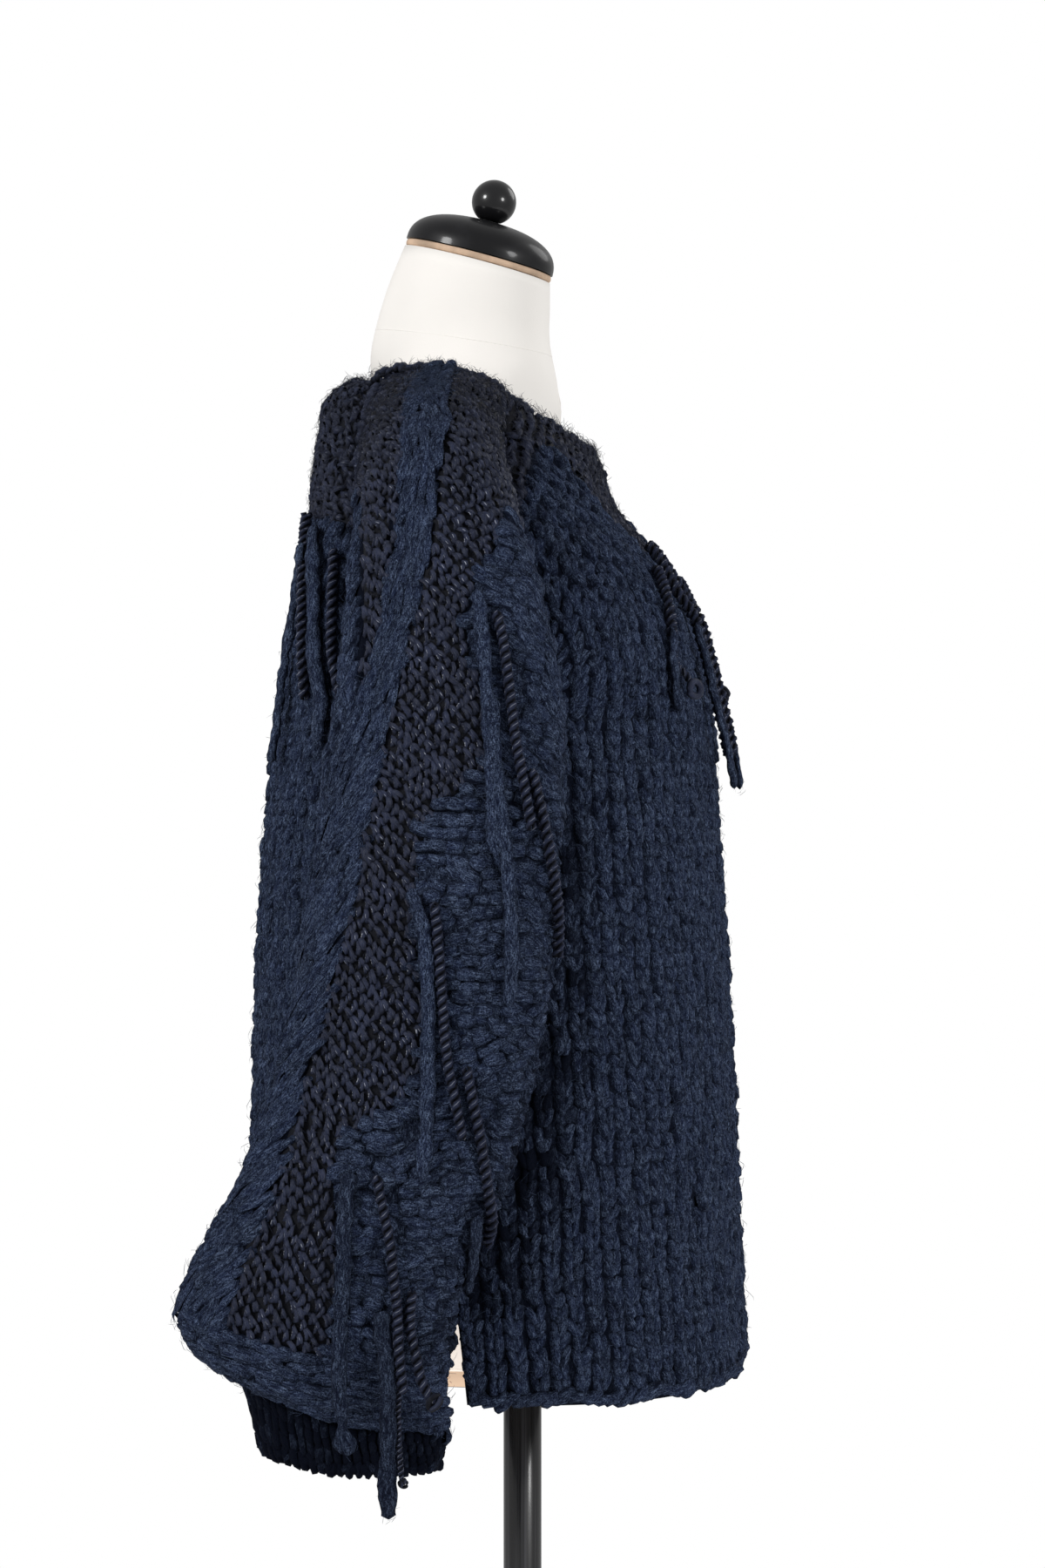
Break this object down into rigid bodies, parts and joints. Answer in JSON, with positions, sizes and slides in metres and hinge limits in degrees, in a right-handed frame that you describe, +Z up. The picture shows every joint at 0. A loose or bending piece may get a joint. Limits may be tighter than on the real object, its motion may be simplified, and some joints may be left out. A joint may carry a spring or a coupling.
{
  "type": "chunky knit sweater on a dress form",
  "caption": "Oversized chunky knit raglan sweater with bloused sleeves and hanging yarn tails, on a limbless padded dress form with a capped neck, on a pole stand with a round foot.",
  "frame": {"origin": "on the floor, at the centre of the round foot's underside", "axes": "+Z up the pole; the sweater's front faces -Y and the wearer's left sleeve hangs at +X"},
  "size_m": [0.6374, 0.338, 1.28],
  "materials": {
    "navy_roving": "matte felted wool roving, fuzzy",
    "charcoal_cord": "twisted two-ply cord with a slight gloss",
    "cream_jersey": "smooth cream jersey",
    "bare_linen": "bare linen, matte",
    "satin_black": "satin black",
    "gloss_black": "gloss black",
    "pole_black": "gloss black",
    "foot_black": "satin black"
  },
  "bodies": {
    "root": {"sleeve_ridge_left": "navy_roving", "sleeve_moss_front_left": "charcoal_cord", "sleeve_moss_back_left": "charcoal_cord", "sleeve_front_left": "navy_roving", "sleeve_back_left": "navy_roving", "sleeve_end_left": "navy_roving", "cuff_left": "navy_roving", "fringe_sleeve_upper_left": "navy_roving", "fringe_sleeve_middle_left": "navy_roving", "fringe_sleeve_low_left": "navy_roving", "fringe_chest_left": "navy_roving", "fringe_shoulder_left": "navy_roving", "sleeve_ridge_right": "navy_roving", "sleeve_moss_front_right": "charcoal_cord", "sleeve_moss_back_right": "charcoal_cord", "sleeve_front_right": "navy_roving", "sleeve_back_right": "navy_roving", "sleeve_end_right": "navy_roving", "cuff_right": "navy_roving", "fringe_sleeve_upper_right": "navy_roving", "fringe_sleeve_middle_right": "navy_roving", "fringe_sleeve_low_right": "navy_roving", "fringe_chest_right": "navy_roving", "fringe_shoulder_right": "navy_roving", "front_yoke": "charcoal_cord", "front_body": "navy_roving", "back_yoke": "charcoal_cord", "back_body": "navy_roving", "form_torso": "cream_jersey", "form_neck_strip": "bare_linen", "form_neck_cap": "satin_black", "form_finial": "gloss_black", "stand_pole": "pole_black", "stand_base": "foot_black"}
  },
  "joints": []
}
